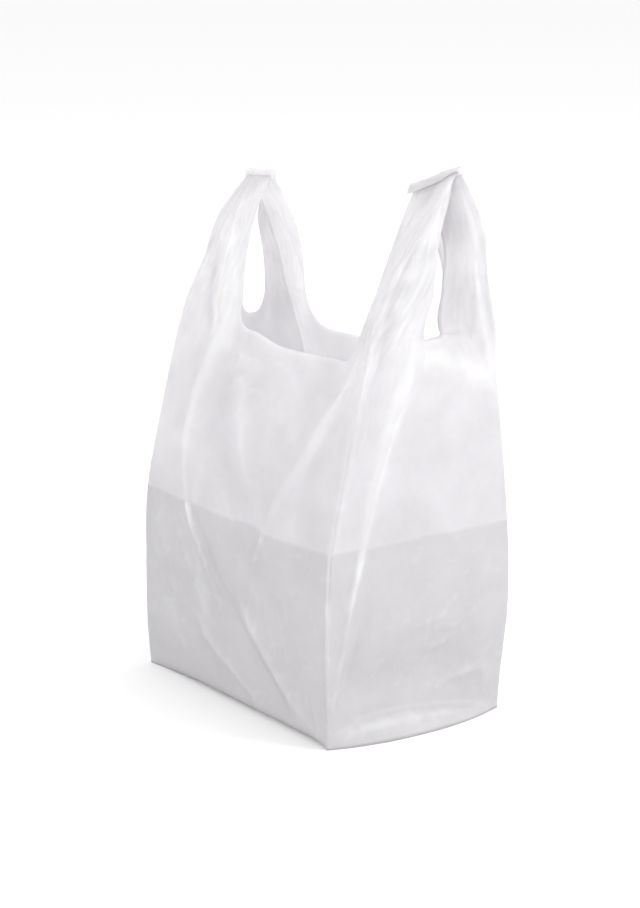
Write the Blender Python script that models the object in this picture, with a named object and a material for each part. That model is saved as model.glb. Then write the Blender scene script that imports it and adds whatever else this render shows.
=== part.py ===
# Thin film carrier bag: one gusseted tube of film, sealed flat along the bottom and cut out at the
# top, so that two loop handles are left, each sealed across its top edge.
# Metres, +Z up, the front panel faces -Y, origin on the floor at the middle of the body.
import math

import bmesh
import bpy
import numpy as np
from mathutils import Vector

for item in list(bpy.data.objects):
    bpy.data.objects.remove(item, do_unlink=True)

# the film and its seals
FILM = 0.0006              # wall of the film as modelled
LAYER_PITCH = 0.0009       # spacing of the four layers where they enter a handle seal
SEAL_DEPTH = 0.006         # height of the welded strip at a handle top
SEAL_OVERHANG = 0.0012     # how far a weld runs past the film at its ends
SKIRT_LENGTH = 0.010       # loose strip left beyond the weld
SKIRT_FILM = 0.0014        # the skirt's layers together
FIN_WIDTH = 0.007          # bottom seal, folded flat under the bag
FIN_FILM = 0.0016

# the body
BODY_WIDTH = 0.260
BODY_DEPTH = 0.172
SQUARE_HEIGHT = 0.159      # up to here the sides stand square
BELLY_HEIGHT = 0.235
BARREL = 0.007             # how far the back bows out half-way up the squared part
EAR_REACH = 0.015          # the ends of the bottom seal poke out at the middle of each side
EAR_HEIGHT = 0.022
CREASE_RADIUS = 0.002

# the mouth, its cut-out and the side slots
MOUTH_HEIGHT = 0.299
MOUTH_DEPTH = 0.096        # between the front and the back rim
CUT_WIDTH = 0.162          # between the handles
CUT_SHIFT = 0.011          # the mouth is pulled towards the right handle
CUT_LIFT = 0.018           # height of the rounded corners of the cut-out
COLLAR = 0.014             # film turned in under each slot
SLOT_WIDTH = 0.026
SLOT_DIP = 0.005
SLOT_INSET = 0.016
SLOT_RIGHT = 0.018         # where each slot sits across its gusset
SLOT_LEFT = 0.007

# the handles: ends of each seal line, inner end first
HANDLE_TOP = 0.449
LEFT_SEAL = ((-0.068, 0.007, HANDLE_TOP - 0.028), (-0.112, 0.007, HANDLE_TOP - 0.032))
RIGHT_SEAL = ((0.073, 0.040, HANDLE_TOP - 0.022), (0.130, 0.041, HANDLE_TOP))

# folds and gathers
FOLD_WIDTH = 0.008
FOLD_HEIGHT = 0.006
GATHER_DEPTH = 0.0014

HALF_WIDTH = BODY_WIDTH / 2
HALF_DEPTH = BODY_DEPTH / 2
RIM = MOUTH_HEIGHT + CUT_LIFT
CUT_LEFT = CUT_SHIFT - CUT_WIDTH / 2
CUT_RIGHT = CUT_SHIFT + CUT_WIDTH / 2
LEVELS = [0.0, EAR_HEIGHT, (EAR_HEIGHT + SQUARE_HEIGHT) / 2, SQUARE_HEIGHT, BELLY_HEIGHT,
          RIM - COLLAR, RIM]
LEVEL_ROWS = [2, 4, 3, 4, 4, 2]          # rows of faces between one level and the next
HANDLE_ROWS = 8


def smooth(knots, values, at):
    """Points on a smooth curve through values, which are set at knots."""
    knots, values = np.asarray(knots, float), np.asarray(values, float)
    at = np.atleast_1d(np.asarray(at, float))
    steps = np.diff(knots)
    slopes = np.diff(values, axis=0) / steps[:, None]
    share = (steps[1:] / (steps[:-1] + steps[1:]))[:, None]
    inner = share * slopes[:-1] + (1 - share) * slopes[1:]
    tangents = np.vstack([slopes[:1], inner, slopes[-1:]])
    n = np.clip(np.searchsorted(knots, at, side="right") - 1, 0, len(knots) - 2)
    h = steps[n][:, None]
    s = np.clip((at[:, None] - knots[n][:, None]) / h, 0, 1)
    start = (2 * s**3 - 3 * s**2 + 1) * values[n] + (s**3 - 2 * s**2 + s) * h * tangents[n]
    stop = (3 * s**2 - 2 * s**3) * values[n + 1] + (s**3 - s**2) * h * tangents[n + 1]
    return start + stop


def corner(side_x, side_y, inset_x, inset_y):
    """Gusset crease up the body: where it lies inside the squared box at each level."""
    return [(side_x * (HALF_WIDTH - a), side_y * (HALF_DEPTH - b), z)
            for a, b, z in zip(inset_x, inset_y, LEVELS)]


def on_panel(side, shares, bulge=0.0, rim_x=None, rim_in=0.0):
    """Line up the front (side -1) or back (side 1) panel, by its share of the half width."""
    mouth_in = HALF_DEPTH - MOUTH_DEPTH / 2
    barrel = BARREL if side > 0 else 0.0
    lean = (0.0, 0.0, -barrel, -barrel * 0.7, mouth_in * 0.42, mouth_in * 0.88, mouth_in)
    tuck = (0, 0, 0, 0, 0.1, 0.7, 1)
    line = []
    for n, z in enumerate(LEVELS):
        x = rim_x if rim_x is not None and n >= 5 else shares[n] * HALF_WIDTH
        out = HALF_DEPTH - lean[n] - rim_in * tuck[n] + (bulge if 2 < n < 6 else 0)
        line.append((x, side * out, z))
    return line


def on_gusset(side, shares, insets, rim_y=None):
    """Line up a side gusset, by its share of the half depth."""
    line = []
    for n, (share, inset, z) in enumerate(zip(shares, insets, LEVELS)):
        y = rim_y if rim_y is not None and n >= 5 else share * HALF_DEPTH
        ear = EAR_REACH * (1 - abs(share) ** 2.2) if n == 0 else 0.0
        lift = EAR_HEIGHT * (-0.25 * share - 0.35 * share ** 2) if n == 1 else 0.0
        valley = 0.003 * (1 - abs(share) ** 3) if n == 1 else 0.0
        line.append((side * (HALF_WIDTH - inset - valley + ear), y, z + lift))
    return line


# Guide lines up the body, one value for each level from the floor to the rim.
GUIDES = {
    "front_left": corner(-1, -1, (0, -.004, -.006, -.001, -.003, .005, .008),
                         (0, 0, 0, 0, .019, .033, .036)),
    "front_right": corner(1, -1, (0, 0, 0, 0, .001, .002, .002),
                          (0, 0, .001, .005, .021, .037, .041)),
    "back_right": corner(1, 1, (0, 0, -.001, 0, 0, 0, -.001),
                         (0, -.002, -.009, -.008, 0, .008, .009)),
    "back_left": corner(-1, 1, (0, -.002, -.005, -.002, -.001, .004, .006),
                        (0, -.002, -.007, -.006, .006, .028, .034)),
    "long_fold": on_panel(-1, (0.0, -.05, -.33, -.57, -.71, -.69, -.67), .002, None, .006),
    "cut_front_left": on_panel(-1, (.30, .28, .12, .02, -.24, -.5, -.54), .001, CUT_LEFT, .019),
    "front_middle": on_panel(-1, (.50, .48, .33, .19, .20, .12, .08), -.002),
    "cut_front_right": on_panel(-1, (.72, .70, .52, .36, .60, .70, .71), .003, CUT_RIGHT, .019),
    "cut_back_right": on_panel(1, (.6,) * 7, .002, CUT_RIGHT - .010, -.006),
    "back_middle": on_panel(1, (0,) * 7, -.002),
    "cut_back_left": on_panel(1, (-.6,) * 7, .002, CUT_LEFT - .001, .012),
    "right_front_mid": on_gusset(1, (-.78, -.78, -.82, -.80, -.58, -.38, -.25),
                                 (0, 0, 0, 0, .001, .001, .003)),
    "slot_right_front": on_gusset(1, (-.52, -.55, -.64, -.54, -.30, -.06, .06),
                                  (0, 0, -.002, -.001, 0, .002, SLOT_INSET - .007),
                                  SLOT_RIGHT - SLOT_WIDTH / 2),
    "slot_right_middle": on_gusset(1, (0, 0, -.06, -.05, .06, .18, .2),
                                   (0, 0, 0, 0, .002, .003, SLOT_INSET - .001), SLOT_RIGHT),
    "slot_right_back": on_gusset(1, (.36, .36, .36, .40, .42, .38, .36),
                                 (0, 0, -.001, 0, .002, .002, SLOT_INSET),
                                 SLOT_RIGHT + SLOT_WIDTH / 2),
    "right_back_mid": on_gusset(1, (.7, .7, .74, .78, .76, .74, .73),
                                (0, 0, -.001, 0, .001, .001, .003)),
    "left_back_mid": on_gusset(-1, (.7, .7, .7, .7, .62, .45, .4),
                               (0, 0, -.002, 0, 0, .006, .013)),
    "slot_left_back": on_gusset(-1, (.36, .36, .36, .36, .32, .24, .2),
                                (0, 0, -.003, 0, .002, .012, .022), SLOT_LEFT + SLOT_WIDTH / 2),
    "slot_left_middle": on_gusset(-1, (0, 0, 0, 0, .04, .08, .08),
                                  (0, 0, -.003, 0, .003, .013, .021), SLOT_LEFT),
    "slot_left_front": on_gusset(-1, (-.36, -.36, -.36, -.36, -.24, -.1, -.05),
                                 (0, 0, -.003, 0, .002, .011, .018), SLOT_LEFT - SLOT_WIDTH / 2),
    "left_front_mid": on_gusset(-1, (-.7, -.7, -.7, -.7, -.55, -.35, -.3),
                                (0, 0, -.004, 0, -.001, .006, .010)),
}

# Once round the tube from the front left crease: the guides of each face, crease to crease.
TUBE = {
    "front": ["front_left", "long_fold", "cut_front_left", "front_middle", "cut_front_right",
              "front_right"],
    "right": ["front_right", "right_front_mid", "slot_right_front", "slot_right_middle",
              "slot_right_back", "right_back_mid", "back_right"],
    "back": ["back_right", "cut_back_right", "back_middle", "cut_back_left", "back_left"],
    "left": ["back_left", "left_back_mid", "slot_left_back", "slot_left_middle",
             "slot_left_front", "left_front_mid", "front_left"],
}
SPAN_COLUMNS = {"front": [5, 4, 4, 4, 5], "right": [2] * 6, "back": [5, 6, 6, 5], "left": [2] * 6}
OUTWARD = {"front": (0, -1, 0), "right": (1, 0, 0), "back": (0, 1, 0), "left": (-1, 0, 0)}

# What is cut out of the top of each face: the guides at its sides, its depth, and how square.
CUT_OUTS = {
    "front": ("cut_front_left", "cut_front_right", CUT_LIFT, 14),
    "right": ("slot_right_front", "slot_right_back", SLOT_DIP, 3),
    "back": ("cut_back_right", "cut_back_left", CUT_LIFT, 14),
    "left": ("slot_left_back", "slot_left_front", SLOT_DIP, 3),
}

# Each strap: its seal line, and the stretch of each of its two faces.
STRAPS = {
    "left_front": (LEFT_SEAL, (("left", "slot_left_front", "front_left"),
                               ("front", "front_left", "cut_front_left"))),
    "right_front": (RIGHT_SEAL, (("front", "cut_front_right", "front_right"),
                                 ("right", "front_right", "slot_right_front"))),
    "right_back": (RIGHT_SEAL, (("right", "slot_right_back", "back_right"),
                                ("back", "back_right", "cut_back_right"))),
    "left_back": (LEFT_SEAL, (("back", "cut_back_left", "back_left"),
                              ("left", "back_left", "slot_left_back"))),
}

# Where a guide meets its seal: its place along the seal (0 is the inner end), its layer, and how
# far it bows in x and y from the straight line a third and two thirds of the way up.
SEAL_ENDS = {
    "cut_front_left": (.04, -1.5, (-.002, -.0065), (-.002, -.0095)),
    "long_fold": (.45, -1.5, (.005, -.002), (.008, -.006)),
    "front_left": (.97, -1.0, (.001, -.003), (0, -.006)),
    "left_front_mid": (.80, -.5, (-.002, .003), (-.003, .002)),
    "slot_left_front": (.10, -.5, (-.010, -.001), (-.013, -.003)),
    "cut_front_right": (.04, -1.5, (-.004, .006), (-.003, .005)),
    "front_right": (.97, -1.0, (0, -.010), (0, -.008)),
    "right_front_mid": (.88, -.5, (.001, .015), (.001, .006)),
    "slot_right_front": (.08, -.5, (.010, .004), (.009, .003)),
    "slot_right_back": (.08, .5, (.011, 0), (.021, 0)),
    "right_back_mid": (.90, .5, (0, .001), (.001, .003)),
    "back_right": (.97, 1.0, (0, .005), (.001, .007)),
    "cut_back_right": (.04, 1.5, (0, .003), (0, .003)),
    "cut_back_left": (.04, 1.5, (0, .005), (-.001, .005)),
    "back_left": (.97, 1.0, (0, .004), (0, .004)),
    "left_back_mid": (.80, .5, (-.004, .002), (-.003, .003)),
    "slot_left_back": (.10, .5, (-.011, .002), (-.021, 0)),
}

# Folds that run along a guide line: height at the seven levels, as a share of FOLD_HEIGHT.
FOLDS = {
    "long_fold": (0, .2, .5, .8, 1, 1, .9),
    "cut_front_left": (0, .2, .3, .2, .7, .6, .2),
    "cut_front_right": (0, .1, .2, .7, .7, .5, .2),
    "front_middle": (0, -.2, -.4, -.5, -.3, 0, 0),
    "slot_right_front": (0, .2, .4, .7, 1, .8, .3),
    "right_front_mid": (0, 0, -.2, -.4, -.6, -.3, 0),
    "slot_left_front": (0, .1, .3, .5, .6, .4, .2),
    "cut_back_left": (0, .1, .2, .4, .6, .4, .2),
    "cut_back_right": (0, .1, .2, .4, .6, .4, .2),
}


def place_columns():
    """The columns of each face: the span each is in, its share of the span, and its side step.

    A side step of 1 or -1 is one crease radius, for the columns that round off a crease.
    Also the place in a row where each guide's own column comes, and the length of a row.
    """
    columns, first = {}, {}
    total = 0
    for face, names in TUBE.items():
        counts = SPAN_COLUMNS[face]
        found = []
        for n, count in enumerate(counts):
            first[face, names[n]] = total + len(found)
            for k in range(count):
                share = k / count
                if names[n] in ("cut_front_left", "cut_back_right"):
                    share = share ** 1.9                   # closer round the cut-out's corners
                if names[n + 1] in ("cut_front_right", "cut_back_left"):
                    share = 1 - (1 - share) ** 1.9
                found.append((n, share, 0))
                if n == 0 and k == 0:
                    found.append((0, 0.0, 1))
        found.append((len(counts) - 1, 1.0, -1))
        first[face, names[-1]] = total + len(found)
        columns[face] = (total, found)
        total += len(found)
    return columns, first, total


COLUMNS, FIRST, ROW_LENGTH = place_columns()
CREASES = [start for start, found in COLUMNS.values()]


def across(keys, found):
    """Points of a row of columns on the smooth curve through the guides' points."""
    gaps = np.maximum(np.linalg.norm(np.diff(keys, axis=0), axis=1), 1e-4)
    knots = np.concatenate([[0.0], np.cumsum(gaps)])
    places = [knots[span] + share * gaps[span] + step * min(CREASE_RADIUS, gaps[span] / 8)
              for span, share, step in found]
    return smooth(knots, keys, places)


def rim_dips(face):
    """How far each column's rim lies under the corners of the face's cut-out."""
    left, right, depth, power = CUT_OUTS[face]
    names = TUBE[face]
    first, last = names.index(left), names.index(right)
    dips = []
    for span, share, step in COLUMNS[face][1]:
        u = (span - first + share) / (last - first)
        dips.append(depth * (1 - abs(2 * u - 1) ** power) if first <= span < last else 0.0)
    return np.array(dips)


def body_row(t):
    """One row of points round the body, dipped under the cut-outs and lifted along the folds."""
    row = []
    level = np.interp(t, LEVELS, range(len(LEVELS)))
    dip = max(t - BELLY_HEIGHT, 0.0) / (RIM - BELLY_HEIGHT)
    for face, names in TUBE.items():
        keys = np.array([smooth(LEVELS, GUIDES[name], t)[0] for name in names])
        points = across(keys, COLUMNS[face][1])
        points[:, 2] -= rim_dips(face) * dip
        lift = np.zeros(len(points))
        for name, key in zip(names, keys):
            if name in FOLDS:
                shares = np.array(FOLDS[name])[:, None]
                height = FOLD_HEIGHT * smooth(range(len(LEVELS)), shares, level)[0, 0]
                gap = np.linalg.norm(points - key, axis=1)
                lift += height * np.exp(-(gap / FOLD_WIDTH) ** 1.1)
        row.append(points + lift[:, None] * np.array(OUTWARD[face]))
    return np.vstack(row)


def strap_line(seal, guide, on_side, w):
    """A guide's point on its way from the rim, at w 0, to the seal, at w 1."""
    inner, outer = np.array(seal[0]), np.array(seal[1])
    along, layer, low, high = SEAL_ENDS[guide]
    if abs(layer) == 1.0:                                  # a crease is part of two layers
        layer = math.copysign(0.5 if on_side else 1.5, layer)
    top = inner + along * (outer - inner) + np.array((0, layer * LAYER_PITCH, 0))
    base = np.array(GUIDES[guide][-1])
    points = [GUIDES[guide][-2], base]
    for share, bow in ((1 / 3, low), (2 / 3, high)):
        points.append(base + share * (top - base) + np.array((*bow, 0)))
    points.append(top)
    return smooth([-0.12, 0.0, 1 / 3, 2 / 3, 1.0], points, w)[0]


def strap_row(strap, w):
    """One row of points across a strap, with the place in the row of each, and its layer."""
    seal, stretches = STRAPS[strap]
    points, members, on_sides = [], [], []
    for number, (face, start, stop) in enumerate(stretches):
        names = TUBE[face][TUBE[face].index(start):TUBE[face].index(stop) + 1]
        on_side = face in ("left", "right")
        keys = np.array([strap_line(seal, name, on_side, w) for name in names])
        origin, found = COLUMNS[face]
        a, b = FIRST[face, start], FIRST[face, stop]
        skipped = TUBE[face].index(start)
        local = [(span - skipped, share, step) for span, share, step in found[a - origin:b - origin]]
        if number == 0:
            crease = keys[-1]
        else:
            local.append((len(names) - 2, 1.0, 0))
            b += 1
        stretch = across(keys, local)
        if number == 1:
            stretch[0] = (crease + keys[0]) / 2
        points.append(stretch)
        members += [i % ROW_LENGTH for i in range(a, b)]
        on_sides += [on_side] * len(local)
    points = np.vstack(points)
    gathered = GATHER_DEPTH * math.sin(math.pi * min(w * 1.12, 1.0)) ** 0.8
    rounding = {(i + step) % ROW_LENGTH for i in CREASES for step in (-1, 0, 1)}
    for m in range(2, len(members) - 1, 2):
        if members[m] not in rounding:
            away = (-1 if "front" in strap else 1) * (-1 if on_sides[m] else 1)
            points[m, 1] += away * gathered * (0.7 + 0.3 * math.sin(m * 2.3))
    return points, members


def lay_sheet():
    """The film as one sheet: rows of the body, the four straps and the bottom."""
    sheet = bmesh.new()
    heights = [LEVELS[0]]
    for low, high, count in zip(LEVELS, LEVELS[1:], LEVEL_ROWS):
        heights += [low + (high - low) * (k + 1) / count for k in range(count)]
    rows = []
    for t in heights:
        points = body_row(t)
        beside = (np.roll(points, 1, axis=0) + np.roll(points, -1, axis=0)) / 2
        points[CREASES] += 0.35 * (beside - points)[CREASES]   # a tight round, not a knife edge
        rows.append([sheet.verts.new(point) for point in points])
    for low, high in zip(rows, rows[1:]):
        for i in range(ROW_LENGTH):
            j = (i + 1) % ROW_LENGTH
            sheet.faces.new((low[i], low[j], high[j], high[i]))
    for strap in STRAPS:
        below = None
        for k in range(1, HANDLE_ROWS + 1):
            points, members = strap_row(strap, k / HANDLE_ROWS)
            below = below or [rows[-1][i] for i in members]
            above = [sheet.verts.new(point) for point in points]
            for m in range(len(members) - 1):
                sheet.faces.new((below[m], below[m + 1], above[m + 1], above[m]))
            below = above
    close_bottom(sheet, rows[0])
    bmesh.ops.recalc_face_normals(sheet, faces=sheet.faces[:])
    mesh = bpy.data.meshes.new("film_bag")
    sheet.to_mesh(mesh)
    sheet.free()
    for polygon in mesh.polygons:
        polygon.use_smooth = True
    bag = bpy.data.objects.new("film_bag", mesh)
    bpy.context.collection.objects.link(bag)
    return bag


def close_bottom(sheet, edge):
    """A patch between the four lower edges, raised over the folded seal."""
    ends = CREASES[1:] + [ROW_LENGTH]
    front, right, back, left = [[edge[i % ROW_LENGTH] for i in range(a, b + 1)]
                                for a, b in zip(CREASES, ends)]
    back, left = back[::-1], left[::-1]
    wide, deep = len(front) - 1, len(right) - 1
    patch = {}
    for i in range(wide + 1):
        patch[i, 0], patch[i, deep] = front[i], back[i]
    for j in range(deep + 1):
        patch[0, j], patch[wide, j] = left[j], right[j]
    for i in range(1, wide):
        for j in range(1, deep):
            u, v = i / wide, j / deep
            between = (front[i].co * (1 - v) + back[i].co * v
                       + left[j].co * (1 - u) + right[j].co * u)
            corners = ((front[0].co * (1 - u) + front[-1].co * u) * (1 - v)
                       + (back[0].co * (1 - u) + back[-1].co * u) * v)
            patch[i, j] = sheet.verts.new(between - corners)
    for i in range(wide):
        for j in range(deep):
            sheet.faces.new((patch[i, j], patch[i, j + 1], patch[i + 1, j + 1], patch[i + 1, j]))
    for vert in sheet.verts:
        vert.co.z += FILM / 2
    for i in range(wide + 1):
        patch[i, deep // 2].co.z += FIN_FILM * 0.6


def strip(name, section, ends, turn):
    """A welded strip: a section drawn in the plane across the seal, run from end to end."""
    start, stop = Vector(ends[0]), Vector(ends[1])
    along = (stop - start).normalized()
    start, stop = start - along * SEAL_OVERHANG, stop + along * SEAL_OVERHANG
    shape = bmesh.new()
    rings = []
    steps = 8
    for k in range(steps + 1):
        base = start.lerp(stop, k / steps)
        wave = 1 + 0.12 * math.sin(k / steps * 9)
        rings.append([shape.verts.new(base + Vector((0, turn * a, b * (wave if b > 0 else 1))))
                      for a, b in section])
    for a, b in zip(rings, rings[1:]):
        for m in range(len(section)):
            n = (m + 1) % len(section)
            shape.faces.new((a[m], a[n], b[n], b[m]))
    shape.faces.new(rings[0][::-1])
    shape.faces.new(rings[-1])
    bmesh.ops.recalc_face_normals(shape, faces=shape.faces[:])
    data = bpy.data.meshes.new(name)
    shape.to_mesh(data)
    shape.free()
    piece = bpy.data.objects.new(name, data)
    bpy.context.collection.objects.link(piece)
    piece.hide_render = True
    piece.display_type = "WIRE"
    return piece


def handle_seals():
    """The two handle welds, each with a loose skirt: one flopped over, one half upright."""
    half = 2 * LAYER_PITCH
    low, top = -SEAL_DEPTH * 0.55, SEAL_DEPTH * 0.45
    skin, tip = SKIRT_FILM, SKIRT_LENGTH
    flopped = [(-half, low), (-half, top), (-half * 0.4, top + skin * 0.9),
               (half + tip * 0.24, top + skin * 0.9), (half + tip * 0.46, top - tip * 0.3),
               (half + tip * 0.48, top - tip * 0.62), (half + tip * 0.48 - skin, top - tip * 0.62),
               (half + tip * 0.38 - skin, top - tip * 0.3), (half + tip * 0.08, top),
               (half, top - skin), (half, low)]
    upright = [(-half, low), (-half, top), (-skin * 0.2, top + tip * 0.12),
               (tip * 0.42, top + tip * 0.16), (tip * 0.66, top - tip * 0.20),
               (tip * 0.66 - skin, top - tip * 0.22), (half, top - skin), (half, low)]
    return [strip("seal_right", flopped, RIGHT_SEAL, -1), strip("seal_left", upright, LEFT_SEAL, 1)]


def bottom_seal():
    """The bottom weld, folded flat under the bag from one ear to the other."""
    section = [(-FIN_WIDTH * 0.2, 0.0), (-FIN_WIDTH * 0.2, FIN_FILM), (FIN_WIDTH * 0.2, FIN_FILM),
               (FIN_WIDTH * 0.8, FIN_FILM * 0.5), (FIN_WIDTH * 0.8, 0.0)]
    reach = HALF_WIDTH + EAR_REACH * 0.6
    return strip("seal_bottom", section, ((-reach, 0, 0), (reach, 0, 0)), 1)


bag = lay_sheet()
wall = bag.modifiers.new("Film", "SOLIDIFY")
wall.thickness = FILM
wall.offset = 0
for piece in handle_seals() + [bottom_seal()]:
    weld = bag.modifiers.new(piece.name, "BOOLEAN")
    weld.operation = "UNION"
    weld.solver = "EXACT"
    weld.object = piece

film = bpy.data.materials.new("film")
film.use_nodes = True
shader = film.node_tree.nodes["Principled BSDF"]
shader.inputs["Base Color"].default_value = (0.83, 0.83, 0.845, 1.0)
shader.inputs["Roughness"].default_value = 0.38
shader.inputs["Metallic"].default_value = 0.0
bag.data.materials.append(film)
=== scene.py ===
import math
import bmesh
import bpy
import numpy as np
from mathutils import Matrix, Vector, noise


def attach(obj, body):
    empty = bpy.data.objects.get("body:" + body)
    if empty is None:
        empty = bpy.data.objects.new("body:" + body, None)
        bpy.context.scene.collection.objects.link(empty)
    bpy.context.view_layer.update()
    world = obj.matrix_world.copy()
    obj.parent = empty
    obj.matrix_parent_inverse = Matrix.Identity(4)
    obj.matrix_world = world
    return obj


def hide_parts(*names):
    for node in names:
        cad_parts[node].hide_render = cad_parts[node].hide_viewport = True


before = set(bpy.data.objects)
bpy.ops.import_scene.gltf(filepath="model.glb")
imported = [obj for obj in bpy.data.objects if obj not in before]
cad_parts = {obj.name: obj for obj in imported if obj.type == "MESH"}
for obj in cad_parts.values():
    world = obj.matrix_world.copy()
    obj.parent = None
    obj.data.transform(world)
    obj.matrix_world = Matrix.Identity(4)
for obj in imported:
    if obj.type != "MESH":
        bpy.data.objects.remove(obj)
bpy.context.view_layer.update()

# The bag is one tube of film. Guide lines run up the tube, and smooth curves run between them.
bag = {
    "width": 0.260, "depth": 0.172,
    "squareHeight": 0.159, "bellyHeight": 0.235,
    "barrel": 0.007,                      # the back bows out under the squared height
    "earReach": 0.015, "earHeight": 0.022,
    "mouthHeight": 0.299, "mouthDepth": 0.096,
    "cutWidth": 0.162, "cutShift": 0.011, "cutLift": 0.018, "cutCorner": 0.012,
    "backDroop": 0.007, "backCorner": 0.028,
    "collar": 0.014,                      # film turned in under each slot
    "slotWidth": 0.022, "slotInset": 0.016, "slotRight": 0.024, "slotLeft": 0.009,
    "rightDip": 0.0015, "leftDip": 0.018,
    "leftSeal": ((-0.077, 0.007, 0.421), (-0.114, 0.007, 0.417)),
    "rightSeal": ((0.073, 0.040, 0.427), (0.130, 0.041, 0.449)),
    "layerPitch": 0.0009,
    "gauge": 0.0003,
    "footRound": 0.009, "footIn": 0.008, "footSoft": 12,  # the foot of the front is drawn in
    "base": 0.0010,                       # the bottom film's height at its seal
    "creaseEase": 0.35,
    "creaseDensity": 1.25, "cornerDensity": 1.5,
    "bottomRows": 12, "bodyRows": 120, "strapRows": 56,
}

halfWidth = bag["width"] / 2
halfDepth = bag["depth"] / 2
rim = bag["mouthHeight"] + bag["cutLift"]
levels = [0.0, bag["earHeight"], (bag["earHeight"] + bag["squareHeight"]) / 2, bag["squareHeight"],
          bag["bellyHeight"], rim - bag["collar"], rim]


def curveThrough(knots, values, at):
    # smooth curve through values, which are set at knots
    knots, values = np.asarray(knots, float), np.asarray(values, float)
    at = np.atleast_1d(np.asarray(at, float))
    steps = np.diff(knots)
    slopes = np.diff(values, axis=0) / steps[:, None]
    share = (steps[1:] / (steps[:-1] + steps[1:]))[:, None]
    tangents = np.vstack([slopes[:1], share * slopes[:-1] + (1 - share) * slopes[1:], slopes[-1:]])
    n = np.clip(np.searchsorted(knots, at, side="right") - 1, 0, len(knots) - 2)
    h = steps[n][:, None]
    s = np.clip((at[:, None] - knots[n][:, None]) / h, 0, 1)
    return ((2 * s**3 - 3 * s**2 + 1) * values[n] + (s**3 - 2 * s**2 + s) * h * tangents[n]
            + (3 * s**2 - 2 * s**3) * values[n + 1] + (s**3 - s**2) * h * tangents[n + 1])


def crease(sideX, sideY, insetX, insetY):
    return [(sideX * (halfWidth - a), sideY * (halfDepth - b), z)
            for a, b, z in zip(insetX, insetY, levels)]


def onPanel(side, shares, bulge=0.0, rimX=None, rimIn=0.0):
    # a line up the front (-1) or the back (1), by its share of the half width
    mouthIn = halfDepth - bag["mouthDepth"] / 2
    barrel = bag["barrel"] if side > 0 else 0.0
    lean = (0.0, 0.0, -barrel, -barrel * 0.7, mouthIn * 0.42, mouthIn * 0.98, mouthIn)
    tuck = (0, 0, 0, 0, 0.1, 0.92, 1)
    line = []
    for n, z in enumerate(levels):
        x = rimX if rimX is not None and n >= 5 else shares[n] * halfWidth
        out = halfDepth - lean[n] - rimIn * tuck[n] + (bulge if 2 < n < 6 else 0)
        line.append((x, side * out, z))
    return line


def onGusset(side, shares, insets, rimY=None):
    # a line up a side, by its share of the half depth
    line = []
    for n, (share, inset, z) in enumerate(zip(shares, insets, levels)):
        y = rimY if rimY is not None and n >= 5 else share * halfDepth
        ear = bag["earReach"] * (1 - abs(share) ** 2.2) if n == 0 else 0.0
        lift = bag["earHeight"] * (-0.25 * share - 0.35 * share ** 2) if n == 1 else 0.0
        valley = 0.003 * (1 - abs(share) ** 3) if n == 1 else 0.0
        line.append((side * (halfWidth - inset - valley + ear), y, z + lift))
    return line


cutLeft = bag["cutShift"] - bag["cutWidth"] / 2
cutRight = bag["cutShift"] + bag["cutWidth"] / 2
slotRight, slotLeft, slotHalf = bag["slotRight"], bag["slotLeft"], bag["slotWidth"] / 2
slotInset = bag["slotInset"]

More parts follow.
